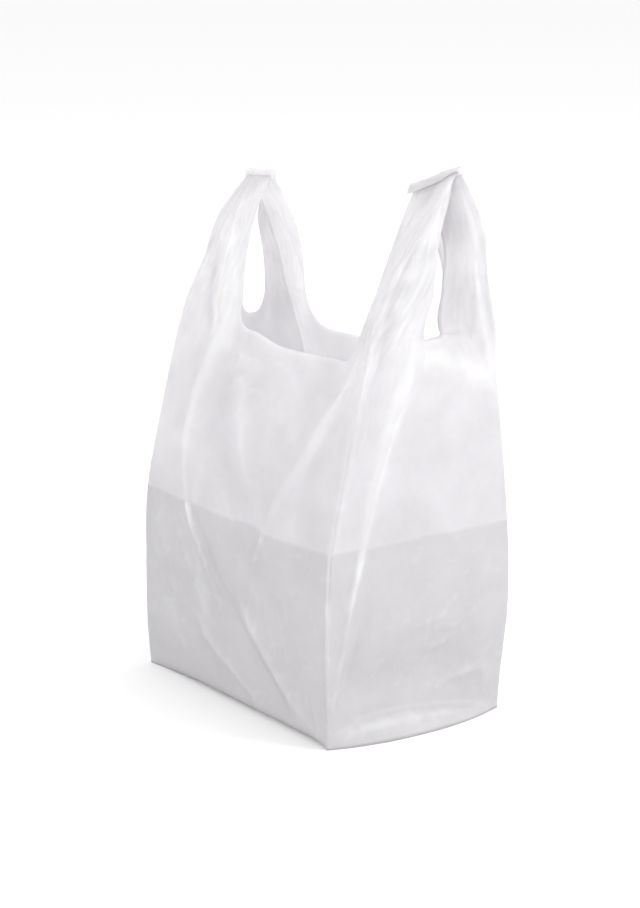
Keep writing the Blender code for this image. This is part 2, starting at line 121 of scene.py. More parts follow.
guides = {
    "frontLeft": crease(-1, -1, (0, -.004, -.006, -.001, -.003, .005, .008),
                        (0, 0, 0, 0, .019, .033, .036)),
    "frontRight": crease(1, -1, (0, 0, 0, 0, .001, .002, .002), (0, 0, .001, .005, .021, .037, .041)),
    "backRight": crease(1, 1, (0, 0, -.001, 0, 0, 0, -.001), (0, -.002, -.009, -.008, 0, .008, .009)),
    "backLeft": crease(-1, 1, (0, -.002, -.005, -.002, -.001, .004, .006),
                       (0, -.002, -.007, -.006, .006, .028, .034)),
    "longFold": onPanel(-1, (0.0, -.05, -.33, -.57, -.71, -.69, -.67), .002, None, .006),
    "cutFrontLeft": onPanel(-1, (.30, .28, .12, .02, -.24, -.5, -.54), .001, cutLeft, .019),
    "frontMiddle": onPanel(-1, (.50, .48, .33, .19, .20, .12, .08), -.002),
    "cutFrontRight": onPanel(-1, (.72, .70, .52, .36, .60, .70, .71), .003, cutRight, .019),
    "cutBackRight": onPanel(1, (.6, .6, .6, .6, .6, .6, .6), .002, cutRight - .003, -.006),
    "backMiddle": onPanel(1, (0, 0, 0, 0, 0, 0, 0), -.002),
    "cutBackLeft": onPanel(1, (-.6, -.6, -.6, -.6, -.6, -.6, -.6), .002, cutLeft - .001, .012),
    "rightFrontMid": onGusset(1, (-.78, -.78, -.82, -.80, -.58, -.38, -.25),
                              (0, 0, 0, 0, .001, .001, .003)),
    "slotRightFront": onGusset(1, (-.52, -.55, -.64, -.54, -.30, -.06, .06),
                               (0, 0, -.002, -.001, 0, .002, slotInset - .007), slotRight - slotHalf),
    "slotRightMiddle": onGusset(1, (0, 0, -.06, -.05, .06, .18, .2),
                                (0, 0, 0, 0, .002, .003, slotInset - .001), slotRight),
    "slotRightBack": onGusset(1, (.36, .36, .36, .40, .42, .38, .36),
                              (0, 0, -.001, 0, .002, .002, slotInset), slotRight + slotHalf),
    "rightBackMid": onGusset(1, (.7, .7, .74, .78, .76, .74, .73), (0, 0, -.001, 0, .001, .001, .003)),
    "leftBackMid": onGusset(-1, (.7, .7, .7, .7, .62, .45, .4), (0, 0, -.002, 0, 0, .006, .013)),
    "slotLeftBack": onGusset(-1, (.36, .36, .36, .36, .32, .24, .2),
                             (0, 0, -.003, 0, .002, .019, .022), slotLeft + slotHalf),
    "slotLeftMiddle": onGusset(-1, (0, 0, 0, 0, .04, .08, .08), (0, 0, -.003, 0, .003, .019, .021),
                               slotLeft),
    "slotLeftFront": onGusset(-1, (-.36, -.36, -.36, -.36, -.24, -.1, -.05),
                              (0, 0, -.003, 0, .002, .016, .018), slotLeft - slotHalf),
    "leftFrontMid": onGusset(-1, (-.7, -.7, -.7, -.7, -.55, -.35, -.3),
                             (0, 0, -.004, 0, -.001, .006, .010)),
}

# Once round the tube: the guides of each face, and the columns between one guide and the next.
tube = {
    "front": (["frontLeft", "longFold", "cutFrontLeft", "frontMiddle", "cutFrontRight", "frontRight"],
              [20, 16, 16, 16, 20]),
    "right": (["frontRight", "rightFrontMid", "slotRightFront", "slotRightMiddle", "slotRightBack",
               "rightBackMid", "backRight"], [8] * 6),
    "back": (["backRight", "cutBackRight", "backMiddle", "cutBackLeft", "backLeft"], [20, 24, 24, 20]),
    "left": (["backLeft", "leftBackMid", "slotLeftBack", "slotLeftMiddle", "slotLeftFront",
              "leftFrontMid", "frontLeft"], [8] * 6),
}

# Each strap: its seal, its two faces, and for each guide the place along the seal (0 is the inner
# end), the layer, and how far the line bows out a third and two thirds of the way up.
straps = {
    "leftFront": ("leftSeal", (("left", "slotLeftFront", "frontLeft"),
                               ("front", "frontLeft", "cutFrontLeft")), {
        "cutFrontLeft": (.04, -1.5, (.001, -.0065), (.003, -.0095)),
        "longFold": (.45, -1.5, (.005, -.002), (.008, -.006)),
        "frontLeft": (.97, -1.0, (-.001, -.003), (-.005, -.006)),
        "leftFrontMid": (.80, -.5, (-.002, .003), (-.003, .002)),
        "slotLeftFront": (.10, -.5, (-.0075, -.001), (-.008, -.003))}),
    "rightFront": ("rightSeal", (("front", "cutFrontRight", "frontRight"),
                                 ("right", "frontRight", "slotRightFront")), {
        "slotRightFront": (.08, -.5, (.010, .004), (.009, .003)),
        "rightFrontMid": (.88, -.5, (.001, .015), (.001, .006)),
        "frontRight": (.97, -1.0, (0, -.010), (0, -.008)),
        "cutFrontRight": (.04, -1.5, (-.006, .006), (-.007, .005))}),
    "rightBack": ("rightSeal", (("right", "slotRightBack", "backRight"),
                                ("back", "backRight", "cutBackRight")), {
        "cutBackRight": (.04, 1.5, (.005, .007), (.005, .005)),
        "backRight": (.97, 1.0, (0, .004), (.001, .010)),
        "rightBackMid": (.90, .5, (0, .001), (.001, .003)),
        "slotRightBack": (.08, .5, (.011, 0), (.021, 0))}),
    "leftBack": ("leftSeal", (("back", "cutBackLeft", "backLeft"),
                              ("left", "backLeft", "slotLeftBack")), {
        "slotLeftBack": (.10, .5, (-.0085, .002), (-.016, 0)),
        "leftBackMid": (.80, .5, (-.004, .002), (-.003, .003)),
        "backLeft": (.97, 1.0, (0, .004), (0, .004)),
        "cutBackLeft": (.04, 1.5, (.003, .005), (.005, .005))}),
}

# Where every column stands: its face, the guide before it and its share of the way to the next.
columnsOf = {}
firstColumn = {}
total = 0
for face, (names, counts) in tube.items():
    span, share = [], []
    for n, count in enumerate(counts):
        firstColumn[face, names[n]] = total + len(span)
        for k in range(count):
            s = k / count
            if n == 0:
                s = s ** bag["creaseDensity"]           # closer columns beside the creases
            if n == len(counts) - 1:
                s = 1 - (1 - s) ** bag["creaseDensity"]
            if names[n] in ("cutFrontLeft", "cutBackRight"):
                s = s ** bag["cornerDensity"]           # and round the corners of the cut-out
            if names[n + 1] in ("cutFrontRight", "cutBackLeft"):
                s = 1 - (1 - s) ** bag["cornerDensity"]
            span.append(n)
            share.append(s)
    firstColumn[face, names[-1]] = total + len(span)
    columnsOf[face] = (total, np.array(span), np.array(share))
    total += len(span)


# The guides at the sides of each cut-out or slot, its depth, and its corner as a share of its width.
cutOuts = {
    "front": (2, 4, bag["cutLift"], bag["cutCorner"] / bag["cutWidth"]),
    "right": (2, 4, bag["rightDip"], 0.5),
    "back": (1, 3, bag["cutLift"] + bag["backDroop"], bag["backCorner"] / bag["cutWidth"]),
    "left": (2, 4, bag["leftDip"], 0.4),
}
dips = np.zeros(total)
for face, (start, span, share) in columnsOf.items():
    first, last, depth, radius = cutOuts[face]
    u = (span - first + share) / (last - first)
    inside = np.clip(np.minimum(u, 1 - u) / radius, 0, 1)
    dips[start:start + len(span)] = np.round(depth * np.sqrt(1 - (1 - inside) ** 2), 5)


def across(keys, span, share):
    # a row's points on the smooth curve through the guides' points
    gaps = np.maximum(np.linalg.norm(np.diff(keys, axis=0), axis=1), 1e-4)
    knots = np.concatenate([[0], np.cumsum(gaps)])
    return curveThrough(knots, keys, knots[span] + share * gaps[np.minimum(span, len(gaps) - 1)])


def bodyRow(t):
    row = np.zeros((total, 3))
    drawn = max(t - bag["bellyHeight"], 0) / (rim - bag["bellyHeight"])
    for face, (start, span, share) in columnsOf.items():
        names = tube[face][0]
        fall = dips[start:start + len(span)]
        for dip in np.unique(fall):
            same = np.flatnonzero(fall == dip)
            keys = [curveThrough(levels, guides[name], t - dip * drawn)[0] for name in names]
            row[start + same] = across(np.array(keys), span[same], share[same])
    return row


def strapLine(strap, guide, onSide, w):
    # a guide's point on its way from the rim, w 0, to the seal, w 1
    seal, parts, table = straps[strap]
    inner, outer = np.array(bag[seal][0]), np.array(bag[seal][1])
    along, layer, low, high = table[guide]
    if abs(layer) == 1.0:                           # a crease belongs to both of its layers
        layer = math.copysign(0.5 if onSide else 1.5, layer)
    top = inner + along * (outer - inner) + np.array((0, layer * bag["layerPitch"], 0))
    base = np.array(guides[guide][-1])
    points = [guides[guide][-2], base]
    for share, bow in ((1 / 3, low), (2 / 3, high)):
        points.append(base + share * (top - base) + np.array((bow[0], bow[1], 0)))
    points.append(top)
    return curveThrough([-0.12, 0.0, 1 / 3, 2 / 3, 1.0], points, w)[0]


def strapRow(row, w):
    for strap, (seal, parts, table) in straps.items():
        for face, first, last in parts:
            names = tube[face][0]
            chosen = names[names.index(first):names.index(last) + 1]
            keys = np.array([strapLine(strap, name, face in ("left", "right"), w) for name in chosen])
            start, span, share = columnsOf[face]
            a, b = firstColumn[face, first], firstColumn[face, last]
            place = np.arange(a, b)
            points = across(keys, span[place - start] - names.index(first), share[place - start])
            row[place] = points
            row[b % total] = keys[-1]
    for strap, (seal, parts, table) in straps.items():     # both layers' line, along the crease
        fold = parts[0][2]
        middle = (strapLine(strap, fold, True, w) + strapLine(strap, fold, False, w)) / 2
        row[firstColumn[parts[1][0], fold]] = middle


reach = halfWidth + bag["earReach"] * 0.6


def bottomRow(edge, s):
    # under the bag, from the seal across the middle, s 0, to the edge of the bottom, s 1
    target = np.zeros_like(edge)
    for face, (start, span, share) in columnsOf.items():
        n = len(span)
        u = np.arange(n) / n
        x = {"front": -reach + 2 * reach * u, "right": np.full(n, reach),
             "back": reach - 2 * reach * u, "left": np.full(n, -reach)}[face]
        target[start:start + n, 0] = x
    row = edge * s + target * (1 - s)
    row[:, 2] = bag["base"] * (1 - s) ** 2
    return row


rows = []
edge = bodyRow(0.0)
for s in np.linspace(0, 1, bag["bottomRows"] + 1)[:-1]:
    rows.append(bottomRow(edge, s))
for t in np.linspace(0, rim, bag["bodyRows"] + 1):
    rows.append(bodyRow(t))
rimRow = len(rows) - 1
for k in range(1, bag["strapRows"] + 1):
    row = rows[-1].copy()
    strapRow(row, k / bag["strapRows"])
    rows.append(row)
shape = np.array(rows)

# The creases are eased a little towards the film beside them.
creases = [columnsOf[face][0] for face in tube]
beside = (np.roll(shape, 1, axis=1)[:, creases] + np.roll(shape, -1, axis=1)[:, creases]) / 2
easing = bag["creaseEase"] * (beside - shape[:, creases])[bag["bottomRows"] + 1:]
shape[bag["bottomRows"] + 1:, creases] += easing
shape[:, :, 2] += bag["gauge"] / 2
print("film laid out:", shape.shape)

# Folds: face, height, width at each end, and points across and up. All in millimetres.
folds = [
    ("front", 3.0, (8, 3), [(-82, 351), (-84, 306), (-84, 273), (-84, 252), (-80, 211), (-75, 184),
        (-68, 166)], 1),
    ("front", 2.4, (3, 2), [(-75, 190), (-68, 166), (-62, 153), (-54, 136), (-45, 121), (-33, 101),
        (-15, 70)]),
    ("front", -1.6, (4, 4), [(-62, 165), (-50, 145), (-38, 128), (-28, 110), (-17, 95)]),
    ("front", -1.0, (14, 9), [(-58, 285), (-48, 259), (-34, 238), (-20, 205), (0, 188)]),
    ("front", 1.3, (6, 8), [(-56, 295), (-40, 274), (-27, 259), (-11, 238), (0, 215), (12, 195),
        (30, 182)]),
    ("front", 1.2, (6, 3), [(104, 297), (98, 271), (91, 248), (80, 220), (68, 202), (57, 184),
        (50, 165), (46, 150)]),
    ("front", 1.2, (3, 3), [(46, 165), (44, 152), (31, 134), (29, 119)]),
    ("front", 1.3, (3, 4), [(107, 301), (102, 274), (96, 245), (84, 205)]),
    ("front", 1.0, (3, 3), [(-21, 186), (-10, 175), (9, 150)]),
    ("front", 1.1, (4, 3), [(-114, 146), (-99, 113), (-83, 70), (-70, 45)]),
    ("front", 0.8, (4, 6), [(-94, 149), (-79, 138), (-70, 117), (-51, 85), (-30, 50)]),
    ("front", 1.1, (3, 3), [(-118, 115), (-107, 95), (-87, 76), (-82, 60)]),
    ("front", 0.9, (3, 4), [(-51, 112), (-39, 89), (-28, 69)]),
    ("front", -2.0, (6, 4), [(-21, 103), (-4, 85), (14, 64), (32, 50), (51, 36), (73, 17), (94, 8)]),
    ("front", 1.8, (7, 4), [(-3, 108), (15, 87), (41, 60), (66, 40), (90, 22), (118, 6)]),
    ("front", -1.8, (4, 3), [(-75, 62), (-55, 45), (-32, 28), (-13, 20)]),
    ("front", 1.8, (4, 4), [(-64, 72), (-41, 50), (-8, 34), (22, 19), (45, 8)]),
    ("front", 1.1, (4, 3), [(-110, 77), (-87, 50), (-78, 30), (-70, 16)]),
    ("front", -1.0, (4, 3), [(-128, 45), (-121, 28), (-112, 13)]),
    ("front", 0.9, (2, 2), [(84, 36), (110, 12), (123, 4)]),
    ("front", 0.9, (2, 2), [(106, 40), (112, 26), (122, 8)]),
    ("right", 2.4, (5, 3), [(4, 330), (-2, 305), (-14, 285), (-23, 259), (-34, 227), (-44, 197),
        (-50, 174), (-55, 148), (-60, 126)]),
    ("right", 1.5, (3, 3), [(-52, 155), (-60, 130), (-66, 109), (-71, 70), (-77, 45), (-84, 12)]),
    ("right", -1.8, (7, 6), [(-40, 150), (-45, 134), (-50, 109), (-59, 75), (-66, 48)]),
    ("right", 1.5, (3, 2), [(-47, 330), (-49, 303), (-59, 264), (-66, 231), (-72, 205), (-78, 170)]),
    ("right", 1.2, (3, 2), [(-30, 304), (-38, 288), (-48, 262), (-56, 235)]),
    ("right", -1.5, (6, 5), [(-24, 346), (-32, 315), (-42, 280), (-52, 245)]),
    ("right", 0.9, (2, 2), [(88, 118), (69, 106), (55, 87), (37, 79), (12, 83)]),
    ("right", 0.9, (2, 3), [(56, 117), (35, 99), (28, 90), (-4, 85)]),
    ("right", 0.9, (2, 3), [(60, 88), (35, 69), (9, 60)]),
    ("right", -2.2, (5, 5), [(-83, 9), (-72, 16), (-48, 21), (-19, 22), (19, 18), (64, 11), (78, 8)]),
    ("right", 1.6, (4, 3), [(-74, 9), (-49, 11), (-7, 13), (40, 8), (68, 6)]),
    ("right", 1.2, (3, 4), [(21, 24), (39, 33), (63, 37), (75, 34), (80, 13)]),
    ("right", 2.4, (9, 6), [(0, 296), (18, 303), (42, 296), (68, 280), (80, 264)]),
    ("right", 0.8, (2, 2), [(33, 270), (47, 258), (62, 245)]),
    ("right", 2.0, (4, 6), [(31, 440), (13, 407), (2, 378), (-5, 361), (-18, 331), (-30, 300)]),
    ("right", -2.2, (4, 6), [(14, 425), (4, 405), (-11, 375), (-24, 346), (-32, 325)]),
    ("right", 1.6, (3, 4), [(45, 430), (53, 407), (57, 384), (58, 360), (62, 340), (66, 320),
        (71, 300), (75, 283)]),
    ("front", 1.8, (4, 6), [(-92, 372), (-90, 348), (-85, 326), (-83, 306), (-84, 280)]),
    ("front", 1.4, (4, 4), [(-98, 408), (-96, 392), (-86, 360), (-78, 332), (-73, 312)]),
    ("front", -1.5, (4, 4), [(-106, 372), (-104, 349), (-99, 331), (-92, 306), (-90, 280)]),
    ("front", 1.0, (2, 2), [(-62, 284), (-44, 279), (-26, 281), (-8, 276)]),
    ("front", -0.9, (2, 2), [(-50, 272), (-34, 268), (-20, 262)]),
    ("front", 0.9, (2, 1.5), [(-46, 262), (-30, 266), (-18, 258), (-6, 262), (10, 256)]),
    ("front", 0.8, (1.5, 2), [(-14, 290), (4, 284), (22, 287), (38, 280)]),
    ("front", 0.7, (1.5, 1.5), [(-40, 252), (-30, 240), (-16, 236)]),
    ("front", 0.7, (1.5, 1.5), [(24, 268), (36, 250), (40, 232)]),
    ("front", 0.7, (1.5, 1.5), [(-112, 240), (-108, 216), (-112, 190)]),
    ("right", 0.8, (1.5, 1.5), [(-20, 240), (-8, 222), (0, 200), (6, 176)]),
    ("right", 0.8, (1.5, 1.5), [(14, 262), (26, 250), (30, 236), (44, 226)]),
    ("right", 0.7, (1.5, 1.5), [(52, 240), (58, 214), (66, 196)]),
    ("back", 1.4, (3, 3), [(-96, 392), (-94, 360), (-84, 335), (-78, 305)]),
    ("back", -1.4, (3, 3), [(-86, 385), (-82, 361), (-73, 335)]),
    ("left", 1.4, (3, 3), [(24, 390), (30, 376), (40, 354), (46, 330), (50, 305)]),
    ("left", 1.0, (3, 3), [(54, 281), (66, 263)]),
]

# Paths painted lighter along ridges and corners, painted highlight: face, strength, width and points as
# for the folds.
highlightBands = [
    ("front", 0.6, (6, 3), [(-96, 395), (-90, 360), (-86, 330), (-84, 300), (-84, 262), (-81, 215),
        (-75, 186)], 0.6),
    ("front", 0.7, (2.6, 1.4), [(-83, 240), (-80, 210), (-75, 186), (-68, 166), (-62, 152),
        (-54, 136), (-45, 121)]),
    ("front", 0.4, (4, 4), [(-60, 300), (-50, 280), (-38, 262), (-24, 246), (-10, 226), (4, 200)], -0.6),
    ("front", 0.35, (6, 3), [(108, 300), (101, 272), (94, 245), (84, 215), (70, 195), (56, 178),
        (48, 160)], 0.4),
    ("front", 0.8, (3, 1.6), [(128, 330), (129, 280), (129, 235), (129, 190), (129, 150),
        (129, 100), (129, 30)]),
    ("right", 0.6, (2, 1.5), [(-45, 330), (-62, 280), (-70, 235), (-80, 200), (-85, 150),
        (-85, 90), (-85, 20)]),
    ("right", 0.8, (5, 2.5), [(2, 330), (-6, 305), (-16, 282), (-25, 256), (-35, 227), (-45, 197),
        (-51, 170)], -0.5),
    ("right", 0.6, (2.4, 1.6), [(-45, 197), (-51, 170), (-56, 148), (-61, 126), (-66, 100)]),
    ("right", 0.3, (6, 5), [(4, 297), (20, 301), (40, 295), (58, 282)], 0.5),
    ("right", 0.5, (2, 2), [(45, 430), (53, 407), (57, 384), (59, 360), (63, 340), (68, 315),
        (74, 285)]),
    ("right", 0.3, (4, 3), [(-80, 6), (-52, 13), (-10, 17), (36, 12), (70, 8)]),
]

# Each noise has its depth in metres and its pitch, so many to the metre, across and up.
finish = {
    "foldScale": 1.5,
    "foldHighlightHeight": 0.0020,                                  # a fold this high gets the full painted highlight
    "billow": 0.0011, "billowPitch": (22, 14),            # slow unevenness of the free film
    "crinkle": 0.00036, "crinklePitch": (75, 60),
    "streak": 0.00048, "streakPitch": (135, 9),           # lengthwise gathers of the straps
    "wander": 1.4, "wanderPitch": (20, 9),                # how the gathers stray sideways
    "patchPitch": (40, 15),                               # where they are stronger or weaker
    "wide": 0.9, "widePitch": (62, 6),
    "freeFrom": 0.13, "freeOver": 0.07,                   # heights from which the film hangs free
    "pullFrom": 0.22, "pullOver": 0.10,                   # and is gathered,
    "strapLightFrom": 0.24,                                     # and has the straps' tone
    "maskSoft": 12,
    # painted highlight on the rim, painted highlight and shade on the gathers' and crinkles' ridges and
    # hollows
    "rimHighlight": 0.5, "streakLight": 0.40, "crinkleLight": 0.22,
    "seed": 7.3,
    "seamGap": 0.003, "rimUp": 0.3, "rowUp": 0.0025,      # the unwrapped film's own places
}


def foldHeight(fold, h, z):
    # how high a fold or a band is at each place across, h, and up, z; a fifth value widens one side
    face, height, widths, points = fold[:4]
    lean = fold[4] if len(fold) > 4 else 0
    path = np.array(points, float) * 0.001
    lengths = np.concatenate([[0], np.cumsum(np.linalg.norm(np.diff(path, axis=0), axis=1))])
    best = np.full(len(h), 9.0)
    run = np.zeros(len(h))
    side = np.zeros(len(h))
    for n in range(len(path) - 1):
        a, d = path[n], path[n + 1] - path[n]
        s = np.clip(((h - a[0]) * d[0] + (z - a[1]) * d[1]) / (d @ d), 0, 1)
        gap = np.hypot(h - a[0] - s * d[0], z - a[1] - s * d[1])
        near = gap < best
        best[near] = gap[near]
        side[near] = np.sign(d[0] * (z - a[1]) - d[1] * (h - a[0]))[near]
        run[near] = (lengths[n] + s * (lengths[n + 1] - lengths[n]))[near] / lengths[-1]
    width = 0.001 * (widths[0] + (widths[1] - widths[0]) * run) * (1 + 0.6 * lean * side)
    taper = np.clip(np.minimum(run, 1 - run) / 0.25, 0, 1)
    return 0.001 * height * (0.15 + 0.85 * taper) * np.exp(-(best / width) ** 1.3)


heights = np.zeros(shape.shape[:2])
paintedLight = np.zeros(shape.shape[:2])
for face, (start, span, share) in columnsOf.items():
    n = len(span)
    part = slice(start, start + n)
    h = shape[:, part, 0 if face in ("front", "back") else 1]
    z = shape[:, part, 2]
    lift = np.zeros(h.size)
    for fold in folds:
        if fold[0] == face:
            lift += foldHeight(fold, h.ravel(), z.ravel())
    fromCrease = np.minimum(np.arange(n), n - np.arange(n))
    lift = lift.reshape(h.shape) * np.clip(fromCrease / 3, 0, 1)
    heights[:, part] = lift * finish["foldScale"]
    # the highlight paths add painted highlight
    white = np.zeros(h.size)
    for band in highlightBands:
        if band[0] == face:
            white += foldHeight(band, h.ravel(), z.ravel()) / 0.001
    # Painted light: fold ridges painted lighter, fold hollows painted shade, less so low down.
    quiet = 0.35 + 0.65 * np.clip((z - 0.12) / 0.08, 0, 1)
    paintedLight[:, part] = lift / finish["foldHighlightHeight"] * quiet + white.reshape(h.shape)
heights[:bag["bottomRows"] + 2] = 0
paintedLight[:bag["bottomRows"] + 2] = 0

# The foot of the front panel curls in under the bag.
start, span, share = columnsOf["front"]
fromEnd = np.minimum(np.arange(len(span)), len(span) - np.arange(len(span)))
middleColumn = firstColumn["front", "frontMiddle"]
for j in range(bag["bottomRows"] // 2, rimRow):
    low = 1 - min(abs(shape[j, middleColumn, 2]) / bag["footRound"], 1)
    curl = bag["footIn"] * low ** 2 * np.clip(fromEnd / bag["footSoft"], 0, 1)
    shape[j, start:start + len(span), 1] += curl

# Lengthwise gathers belong to the straps, and fade out where these spread into the body. The
# straps are painted lighter than the body, painted light against their shade, by these shares.
strapLightShares = {"leftFront": 0.75, "rightFront": 1.0, "rightBack": 0.7, "leftBack": 0.7}


def strapMask(strength):
    # 0 to 1 round the tube: how much a column belongs to a strap, with soft edges
    mask = np.zeros(total)
    for strap, (seal, parts, table) in straps.items():
        for face, first, last in parts:
            mask[firstColumn[face, first]:firstColumn[face, last]] = strength[strap]
    edge = finish["maskSoft"]
    soften = np.hanning(2 * edge + 1)
    around = np.concatenate([mask[-edge:], mask, mask[:edge]])
    return np.convolve(around, soften / soften.sum(), mode="valid")


strand = strapMask({strap: 1.0 for strap in straps})
strapLightShare = strapMask(strapLightShares)
# A painted highlight along the rim, off the straps.
paintedLight[rimRow - 1:rimRow + 1] += finish["rimHighlight"] * (1 - strand)

rimLine = shape[rimRow]
arc = np.concatenate([[0], np.cumsum(np.linalg.norm(np.diff(rimLine, axis=0), axis=1))])
seed = finish["seed"]


def noiseAlong(name, across, z, shift, aside=0.0):
    # noise on the laid out film, across it and up
    pitch = finish[name + "Pitch"]
    return noise.noise(Vector((across * pitch[0] + aside, z * pitch[1], seed + shift)))


def upFrom(z, start):
    return min(max((z - start) / finish["pullOver"], 0.0), 1.0)


billowAcross, billowUp = finish["billowPitch"]
crinkleAcross, crinkleUp = finish["crinklePitch"]
for j in range(bag["bottomRows"] + 1, shape.shape[0]):
    strapShare = max(0.0, (j - rimRow) / bag["strapRows"])
    calm = 1 - 0.85 * strapShare ** 3                     # the seals hold the film flat
    for i in range(total):
        x, y, z = shape[j, i]
        free = min(max((z - finish["freeFrom"]) / finish["freeOver"], 0.15), 1.0)
        edgeCalm = min(1.0, z / 0.012)
        slow = noise.noise(Vector((x * billowAcross, y * billowAcross + seed, z * billowUp)))
        value = finish["billow"] * free * (1 - strapShare) * slow
        fine = noise.noise(Vector((x * crinkleAcross, y * crinkleAcross, z * crinkleUp + seed)))
        crest = (1 - abs(fine) * 2) ** 3 - 0.3
        value += finish["crinkle"] * crest * (0.6 + 0.4 * free) * calm
        pull = upFrom(z, finish["pullFrom"]) * strand[i] ** 1.5
        aside = finish["wander"] * noiseAlong("wander", arc[i], z, 9)
        patch = 0.65 + noiseAlong("patch", arc[i], z, 2)
        gather = (1 - abs(noiseAlong("streak", arc[i], z, 0, aside)) * 2) ** 2 - 0.35
        wide = finish["wide"] * noiseAlong("wide", arc[i], z, 4)
        value += finish["streak"] * pull * calm * (gather * patch + wide)
        heights[j, i] += value * edgeCalm
        # painted highlight and painted shade along the gathers and crinkles
        paintedLight[j, i] += finish["streakLight"] * pull * calm * patch * gather
        paintedLight[j, i] += finish["crinkleLight"] * crest
print("folds drawn:", len(folds))

# The sheet: one grid, bent round the tube, with the cut-outs and slots taken out.
sheet = bmesh.new()
upCount = shape.shape[0] - 1
bmesh.ops.create_grid(sheet, x_segments=total, y_segments=upCount, size=1)
heightLayer = sheet.verts.layers.float.new("height")
# The crest attribute carries painted highlight and painted shade.
paintedLightLayer = sheet.verts.layers.float.new("crest")
strandLayer = sheet.verts.layers.float.new("strand")
uv = sheet.loops.layers.uv.new("filmUv")
places = {}
for vert in sheet.verts:
    i = round((vert.co.x + 1) / 2 * total)
    j = round((vert.co.y + 1) / 2 * upCount)
    places[vert] = (i, j)
kept = set()
for strap, (seal, parts, table) in straps.items():
    for face, first, last in parts:
        kept.update(range(firstColumn[face, first], firstColumn[face, last]))
holes = []
for panel in sheet.faces:
    corners = [places[vert] for vert in panel.verts]
    i = min(c[0] for c in corners)
    j = min(c[1] for c in corners)
    if j >= rimRow and i not in kept:
        holes.append(panel)
    for loop in panel.loops:
        a, b = places[loop.vert]
        around = arc[a] if a < total else arc[-1] + finish["seamGap"]
        loop[uv].uv = (around, finish["rimUp"] + (b - rimRow) * finish["rowUp"])
for vert, (i, j) in places.items():
    vert.co = shape[j, i % total]
    vert[heightLayer] = heights[j, i % total]
    vert[paintedLightLayer] = paintedLight[j, i % total]
    # the straps' painted light share, which also marks where the streaks go
    vert[strandLayer] = strapLightShare[i % total] * upFrom(vert.co.z, finish["strapLightFrom"])
bmesh.ops.delete(sheet, geom=holes, context="FACES")
bmesh.ops.remove_doubles(sheet, verts=sheet.verts[:], dist=2e-5)
bmesh.ops.dissolve_degenerate(sheet, dist=1e-5, edges=sheet.edges[:])
bmesh.ops.recalc_face_normals(sheet, faces=sheet.faces[:])
sheet.normal_update()
offsets = [(vert, vert.normal * vert[heightLayer]) for vert in sheet.verts]
for vert, offset in offsets:
    vert.co += offset
mesh = bpy.data.meshes.new("bagFilm")
sheet.to_mesh(mesh)
sheet.free()
for polygon in mesh.polygons:
    polygon.use_smooth = True
bagFilm = bpy.data.objects.new("bagFilm", mesh)
bpy.context.collection.objects.link(bagFilm)
wall = bagFilm.modifiers.new("gauge", "SOLIDIFY")
wall.thickness = bag["gauge"]
wall.offset = 0
print("film piece:", len(mesh.polygons), "faces")

# The handle seals and the fold of the bottom seal.
seals = {
    "depth": 0.006, "above": 0.45,                        # the share of the depth above the seal's line
    "skirt": 0.010, "skirtFilm": 0.0009,
    "finWidth": 0.007, "finFilm": 0.0014,
    "overhang": 0.0012,
    "taperFrom": 0.55,
    "wave": 0.10, "smallWave": 0.05, "ripple": 0.0002,
}


def sealStrip(name, section, ends, turn, steps, taper=0.0):
    # a section drawn along a line; taper lets the loose skirt run out towards the far end
    top = seals["depth"] * seals["above"]
    start, stop = Vector(ends[0]), Vector(ends[1])
    along = (stop - start).normalized()
    start, stop = start - along * seals["overhang"], stop + along * seals["overhang"]
    strip = bmesh.new()
    count = len(section)
    bmesh.ops.create_grid(strip, x_segments=steps, y_segments=count, size=1)
    for vert in strip.verts:
        u = (vert.co.x + 1) / 2
        k = round((vert.co.y + 1) / 2 * count) % count
        out, up = section[k]
        loose = 1 - taper * max((u - seals["taperFrom"]) / (1 - seals["taperFrom"]), 0) ** 1.5
        if out > half:
            out = half + (out - half) * loose
            up = top + (up - top) * loose
        wave = 1 + seals["wave"] * math.sin(u * 9 + 1) + seals["smallWave"] * math.sin(u * 31)
        ripple = seals["ripple"] * math.sin(u * 60 + k) if up > 0 else 0
        vert.co = start.lerp(stop, u) + Vector((0, turn * out + ripple, up * (wave if up > 0 else 1)))
    bmesh.ops.remove_doubles(strip, verts=strip.verts[:], dist=1e-6)
    bmesh.ops.holes_fill(strip, edges=[e for e in strip.edges if e.is_boundary], sides=0)
    bmesh.ops.recalc_face_normals(strip, faces=strip.faces[:])
    data = bpy.data.meshes.new(name)
    strip.to_mesh(data)
    strip.free()
    data.shade_smooth()
    data.set_sharp_from_angle(angle=math.radians(50))
    piece = bpy.data.objects.new(name, data)
    bpy.context.collection.objects.link(piece)
    return piece


# Sections of the two handle seals: the right one's skirt has flopped to the front, and the left
# one's stands up. Their shares are of the skirt's length.
half = 2 * bag["layerPitch"]
skin, tip = seals["skirtFilm"], seals["skirt"]
top = seals["depth"] * seals["above"]
low = top - seals["depth"]
flopped = [(-half, low), (-half, top), (-half * 0.4, top + skin * 0.9),
           (half + tip * 0.24, top + skin * 0.9), (half + tip * 0.46, top - tip * 0.3),
           (half + tip * 0.48, top - tip * 0.62), (half + tip * 0.48 - skin, top - tip * 0.62),
           (half + tip * 0.38 - skin, top - tip * 0.3), (half + tip * 0.08, top),
           (half, top - skin), (half, low)]
upright = [(-half, low), (-half, top), (-half * 0.6, top + tip * 0.20),
           (half * 0.6, top + tip * 0.20), (half + skin, top - skin), (half, top - skin * 2),
           (half, low)]
rightHandleSeal = sealStrip("rightHandleSeal", flopped, bag["rightSeal"], -1, 60, 0.9)
leftHandleSeal = sealStrip("leftHandleSeal", upright, bag["leftSeal"], 1, 50)
finWidth, finFilm = seals["finWidth"], seals["finFilm"]
